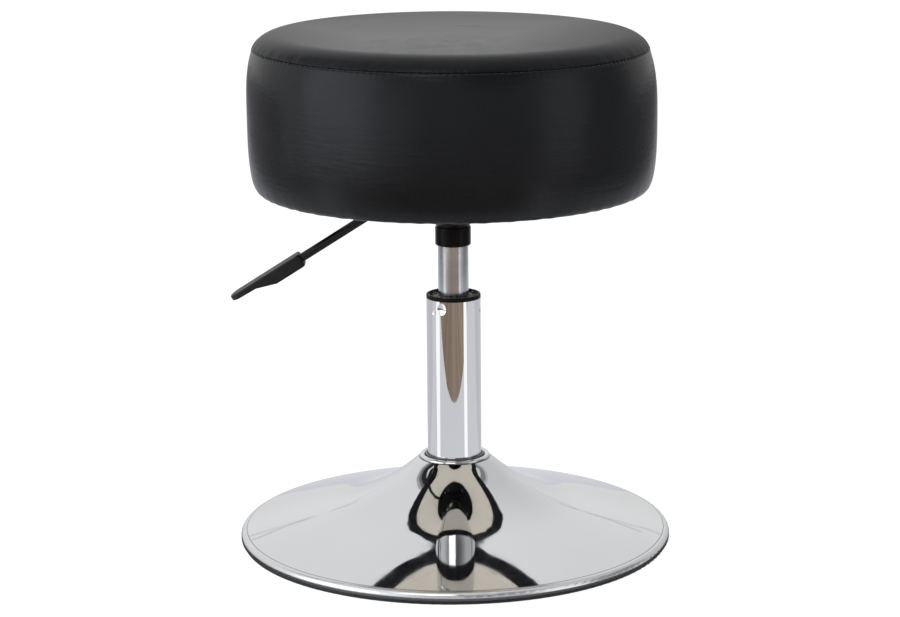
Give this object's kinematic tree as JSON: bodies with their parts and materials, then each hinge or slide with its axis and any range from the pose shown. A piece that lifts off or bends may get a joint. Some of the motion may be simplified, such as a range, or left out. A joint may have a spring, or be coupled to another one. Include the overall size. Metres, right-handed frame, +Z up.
{
  "type": "swivel stool",
  "caption": "Backless round stool with a thick upholstered seat that swivels and slides up and down on a gas lift, released by a side lever, on a flared round base.",
  "frame": {"origin": "on the floor, on the axis of the lift, under the middle of the base", "axes": "+Z up along the lift, the release lever points to -X, the pictured front is -Y"},
  "size_m": [0.4037, 0.399, 0.478],
  "materials": {
    "chrome": "polished",
    "bright_steel": "polished",
    "plain_steel": "satin",
    "zinc_steel": "satin",
    "black_paint": "gloss",
    "black_rubber": "matte",
    "black_plastic": "satin",
    "handle_plastic": "satin",
    "white_plastic": "matte",
    "brass": "satin",
    "black_leather": "satin",
    "foam": "matte",
    "plywood": "matte",
    "beige_cloth": "matte"
  },
  "bodies": {
    "base": {"base_shell": "chrome", "floor_ring": "black_rubber", "socket_sleeve": "chrome", "socket_gussets": "plain_steel", "column_tube": "chrome", "guide_bush": "black_plastic", "column_plate": "plain_steel", "lower_race": "bright_steel"},
    "lift_rod": {"piston_rod": "bright_steel", "piston": "brass", "piston_ring": "black_rubber", "upper_race": "bright_steel", "bump_stop": "black_rubber", "rod_clip": "plain_steel", "clip_washer": "zinc_steel"},
    "bearing": {"ball_cage": "white_plastic", "bearing_balls": "bright_steel"},
    "seat": {"gas_cylinder": "bright_steel", "pressure_tube": "plain_steel", "rod_guide": "white_plastic", "rod_seal": "black_rubber", "valve_body": "plain_steel", "valve_seal": "black_rubber", "hub_tube": "black_paint", "lever_bracket": "black_paint", "seat_plate": "black_paint", "pivot_pin": "zinc_steel", "pivot_clip": "zinc_steel", "seat_bolts": "zinc_steel", "seat_washers": "zinc_steel", "seat_nuts": "zinc_steel", "seat_board": "plywood", "seat_foam": "foam", "top_panel": "black_leather", "side_band": "black_leather", "dust_cloth": "beige_cloth"},
    "lever": {"lever_rod": "black_paint", "lever_handle": "handle_plastic"},
    "valve": {"valve_pin": "white_plastic"}
  },
  "joints": [
    {"name": "seat_swivel", "type": "hinge", "parent": "base", "child": "lift_rod", "pos_m": [0, 0, 0.0263], "axis": [0, 0, 1], "continuous": true},
    {"name": "cage_turn", "type": "hinge", "parent": "base", "child": "bearing", "pos_m": [0, 0, 0.0226], "axis": [0, 0, 1], "continuous": true},
    {"name": "seat_lift", "type": "slide", "parent": "lift_rod", "child": "seat", "axis": [0, 0, 1], "range_m": [-0.04, 0.06]},
    {"name": "lever_tilt", "type": "hinge", "parent": "seat", "child": "lever", "pos_m": [-0.044, 0, 0.3257], "axis": [0, 1, 0], "range_deg": [0, 5.5], "stiffness_Nm_per_rad": 8},
    {"name": "valve_press", "type": "slide", "parent": "seat", "child": "valve", "axis": [0, 0, -1], "range_m": [0, 0.0045]}
  ],
  "couplings": [
    {"joint": "cage_turn", "follows": "seat_swivel", "ratio": 0.5},
    {"joint": "valve_press", "follows": "lever_tilt", "m_per_rad": 0.044}
  ]
}
